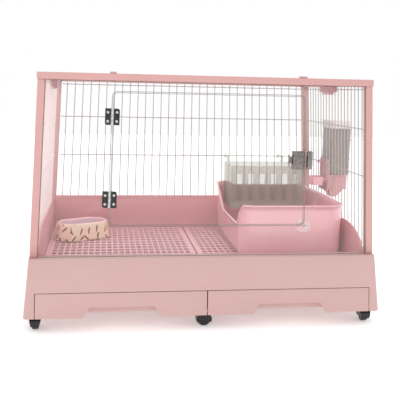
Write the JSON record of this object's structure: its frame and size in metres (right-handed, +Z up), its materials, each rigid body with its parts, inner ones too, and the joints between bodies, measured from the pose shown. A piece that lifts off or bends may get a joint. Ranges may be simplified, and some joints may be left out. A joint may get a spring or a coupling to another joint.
{
  "type": "wire rabbit cage",
  "caption": "Pink wheeled small-animal cage: deep moulded base with front drawers, grid floor, wire walls and roof, clear hinged front door, tray, hay rack, bowl and water dispenser.",
  "frame": {"origin": "on the ground under the middle of the cage", "axes": "+Z up, +X to the right and +Y to the back, seen from the door side"},
  "size_m": [0.821, 0.5468, 0.554],
  "materials": {
    "pink_plastic": "moulded satin",
    "tub_plastic": "moulded satin",
    "frame_plastic": "moulded satin",
    "tray_plastic": "moulded gloss",
    "painted_wire": "powder coated",
    "clear_acrylic": "polished",
    "black_plastic": "moulded",
    "screw_steel": "zinc plated",
    "latch_metal": "dark plated",
    "smoke_clear_plastic": "moulded clear",
    "bowl_ceramic": "glazed",
    "white_plastic": "moulded"
  },
  "bodies": {
    "cage": {"base": "pink_plastic", "splash_guard_left": "tub_plastic", "splash_guard_right": "tub_plastic", "splash_guard_back": "tub_plastic", "post_front_left": "frame_plastic", "post_front_right": "frame_plastic", "post_back_left": "frame_plastic", "post_back_right": "frame_plastic", "rail_front": "frame_plastic", "rail_back": "frame_plastic", "rail_left": "frame_plastic", "rail_right": "frame_plastic", "wire_wall_back": "painted_wire", "wire_wall_left": "painted_wire", "wire_wall_right": "painted_wire", "roof_saddles": "frame_plastic", "side_lock_housings": "tub_plastic", "front_sheet": "clear_acrylic", "hinge_leaves_fixed": "black_plastic", "hinge_pins": "screw_steel", "hinge_screws_fixed": "screw_steel", "latch_catch": "latch_metal", "door_stop_screw": "screw_steel", "water_bracket": "frame_plastic", "water_cup": "tray_plastic"},
    "drawer_left": {"drawer_left": "pink_plastic"},
    "drawer_right": {"drawer_right": "pink_plastic"},
    "floor_grid_left": {"floor_grid_left": "frame_plastic"},
    "floor_grid_right": {"floor_grid_right": "frame_plastic"},
    "door": {"door": "clear_acrylic", "hinge_leaves_door": "black_plastic", "hinge_screws_door": "screw_steel", "latch_body": "latch_metal"},
    "latch_bolt": {"latch_bolt": "latch_metal"},
    "door_stop": {"door_stop": "clear_acrylic"},
    "roof": {"roof_panel": "painted_wire"},
    "roof_clip_left": {"roof_clip_left": "frame_plastic"},
    "roof_clip_right": {"roof_clip_right": "frame_plastic"},
    "side_lock_left": {"side_lock_slider_left": "frame_plastic"},
    "side_lock_right": {"side_lock_slider_right": "frame_plastic"},
    "litter_tray": {"litter_tray": "tray_plastic"},
    "litter_grid": {"litter_grid": "tray_plastic"},
    "hay_rack": {"hay_rack": "smoke_clear_plastic"},
    "water_tank": {"water_tank": "smoke_clear_plastic"},
    "water_cap": {"water_cap": "white_plastic"},
    "food_bowl": {"food_bowl": "bowl_ceramic"},
    "caster_front_left": {"caster_fork_front_left": "black_plastic"},
    "wheel_front_left": {"caster_wheel_front_left": "black_plastic"},
    "caster_front_middle": {"caster_fork_front_middle": "black_plastic"},
    "wheel_front_middle": {"caster_wheel_front_middle": "black_plastic"},
    "caster_front_right": {"caster_fork_front_right": "black_plastic"},
    "wheel_front_right": {"caster_wheel_front_right": "black_plastic"},
    "caster_back_left": {"caster_fork_back_left": "black_plastic"},
    "wheel_back_left": {"caster_wheel_back_left": "black_plastic"},
    "caster_back_middle": {"caster_fork_back_middle": "black_plastic"},
    "wheel_back_middle": {"caster_wheel_back_middle": "black_plastic"},
    "caster_back_right": {"caster_fork_back_right": "black_plastic"},
    "wheel_back_right": {"caster_wheel_back_right": "black_plastic"}
  },
  "joints": [
    {"name": "drawer_left_slide", "type": "slide", "parent": "cage", "child": "drawer_left", "axis": [0, -1, 0], "range_m": [0, 0.33]},
    {"name": "drawer_right_slide", "type": "slide", "parent": "cage", "child": "drawer_right", "axis": [0, -1, 0], "range_m": [0, 0.33]},
    {"name": "floor_grid_left_lift", "type": "slide", "parent": "cage", "child": "floor_grid_left", "axis": [0, 0, 1], "range_m": [0, 0.016]},
    {"name": "floor_grid_right_lift", "type": "slide", "parent": "cage", "child": "floor_grid_right", "axis": [0, 0, 1], "range_m": [0, 0.008]},
    {"name": "door_hinge", "type": "hinge", "parent": "cage", "child": "door", "pos_m": [-0.2108, -0.2473, 0.3705], "axis": [-0.0261, 0, -0.9997], "range_deg": [0, 120]},
    {"name": "latch_bolt_slide", "type": "slide", "parent": "door", "child": "latch_bolt", "axis": [1, 0, 0], "range_m": [0, 0.007]},
    {"name": "door_stop_turn", "type": "hinge", "parent": "cage", "child": "door_stop", "pos_m": [0.2218, -0.2392, 0.22], "axis": [0, 1, 0], "range_deg": [0, 180]},
    {"name": "roof_hinge", "type": "hinge", "parent": "cage", "child": "roof", "pos_m": [0, 0.2265, 0.5445], "axis": [-1, 0, 0], "range_deg": [0, 110]},
    {"name": "roof_clip_left_hinge", "type": "hinge", "parent": "roof", "child": "roof_clip_left", "pos_m": [-0.20721, -0.2265, 0.5445], "axis": [-1, 0, 0], "range_deg": [0, 90]},
    {"name": "roof_clip_right_hinge", "type": "hinge", "parent": "roof", "child": "roof_clip_right", "pos_m": [0.20721, -0.2265, 0.5445], "axis": [-1, 0, 0], "range_deg": [0, 90]},
    {"name": "side_lock_left_slide", "type": "slide", "parent": "cage", "child": "side_lock_left", "axis": [0, -1, 0], "range_m": [0, 0.014]},
    {"name": "side_lock_right_slide", "type": "slide", "parent": "cage", "child": "side_lock_right", "axis": [0, -1, 0], "range_m": [0, 0.014]},
    {"name": "litter_tray_lift", "type": "slide", "parent": "floor_grid_right", "child": "litter_tray", "axis": [0, 0, 1], "range_m": [0, 0.012]},
    {"name": "litter_grid_lift", "type": "slide", "parent": "litter_tray", "child": "litter_grid", "axis": [0, 0, 1], "range_m": [0, 0.018]},
    {"name": "hay_rack_lift", "type": "slide", "parent": "cage", "child": "hay_rack", "axis": [0, 0, 1], "range_m": [0, 0.04]},
    {"name": "water_tank_lift", "type": "slide", "parent": "cage", "child": "water_tank", "axis": [0, 0, 1], "range_m": [0, 0.06]},
    {"name": "water_cap_lift", "type": "slide", "parent": "water_tank", "child": "water_cap", "axis": [0, 0, 1], "range_m": [0, 0.04]},
    {"name": "food_bowl_lift", "type": "slide", "parent": "floor_grid_left", "child": "food_bowl", "axis": [0, 0, 1], "range_m": [0, 0.08]},
    {"name": "caster_front_left_swivel", "type": "hinge", "parent": "cage", "child": "caster_front_left", "pos_m": [-0.368, -0.238, 0.036], "axis": [0, 0, 1], "continuous": true},
    {"name": "wheel_front_left_spin", "type": "hinge", "parent": "caster_front_left", "child": "wheel_front_left", "pos_m": [-0.368, -0.235, 0.015], "axis": [1, 0, 0], "continuous": true},
    {"name": "caster_front_middle_swivel", "type": "hinge", "parent": "cage", "child": "caster_front_middle", "pos_m": [0, -0.238, 0.036], "axis": [0, 0, 1], "continuous": true},
    {"name": "wheel_front_middle_spin", "type": "hinge", "parent": "caster_front_middle", "child": "wheel_front_middle", "pos_m": [-0.003, -0.238, 0.015], "axis": [0, 1, 0], "continuous": true},
    {"name": "caster_front_right_swivel", "type": "hinge", "parent": "cage", "child": "caster_front_right", "pos_m": [0.368, -0.238, 0.036], "axis": [0, 0, 1], "continuous": true},
    {"name": "wheel_front_right_spin", "type": "hinge", "parent": "caster_front_right", "child": "wheel_front_right", "pos_m": [0.368, -0.235, 0.015], "axis": [1, 0, 0], "continuous": true},
    {"name": "caster_back_left_swivel", "type": "hinge", "parent": "cage", "child": "caster_back_left", "pos_m": [-0.368, 0.238, 0.036], "axis": [0, 0, 1], "continuous": true},
    {"name": "wheel_back_left_spin", "type": "hinge", "parent": "caster_back_left", "child": "wheel_back_left", "pos_m": [-0.368, 0.241, 0.015], "axis": [1, 0, 0], "continuous": true},
    {"name": "caster_back_middle_swivel", "type": "hinge", "parent": "cage", "child": "caster_back_middle", "pos_m": [0, 0.238, 0.036], "axis": [0, 0, 1], "continuous": true},
    {"name": "wheel_back_middle_spin", "type": "hinge", "parent": "caster_back_middle", "child": "wheel_back_middle", "pos_m": [-0.003, 0.238, 0.015], "axis": [0, 1, 0], "continuous": true},
    {"name": "caster_back_right_swivel", "type": "hinge", "parent": "cage", "child": "caster_back_right", "pos_m": [0.368, 0.238, 0.036], "axis": [0, 0, 1], "continuous": true},
    {"name": "wheel_back_right_spin", "type": "hinge", "parent": "caster_back_right", "child": "wheel_back_right", "pos_m": [0.368, 0.241, 0.015], "axis": [1, 0, 0], "continuous": true}
  ]
}
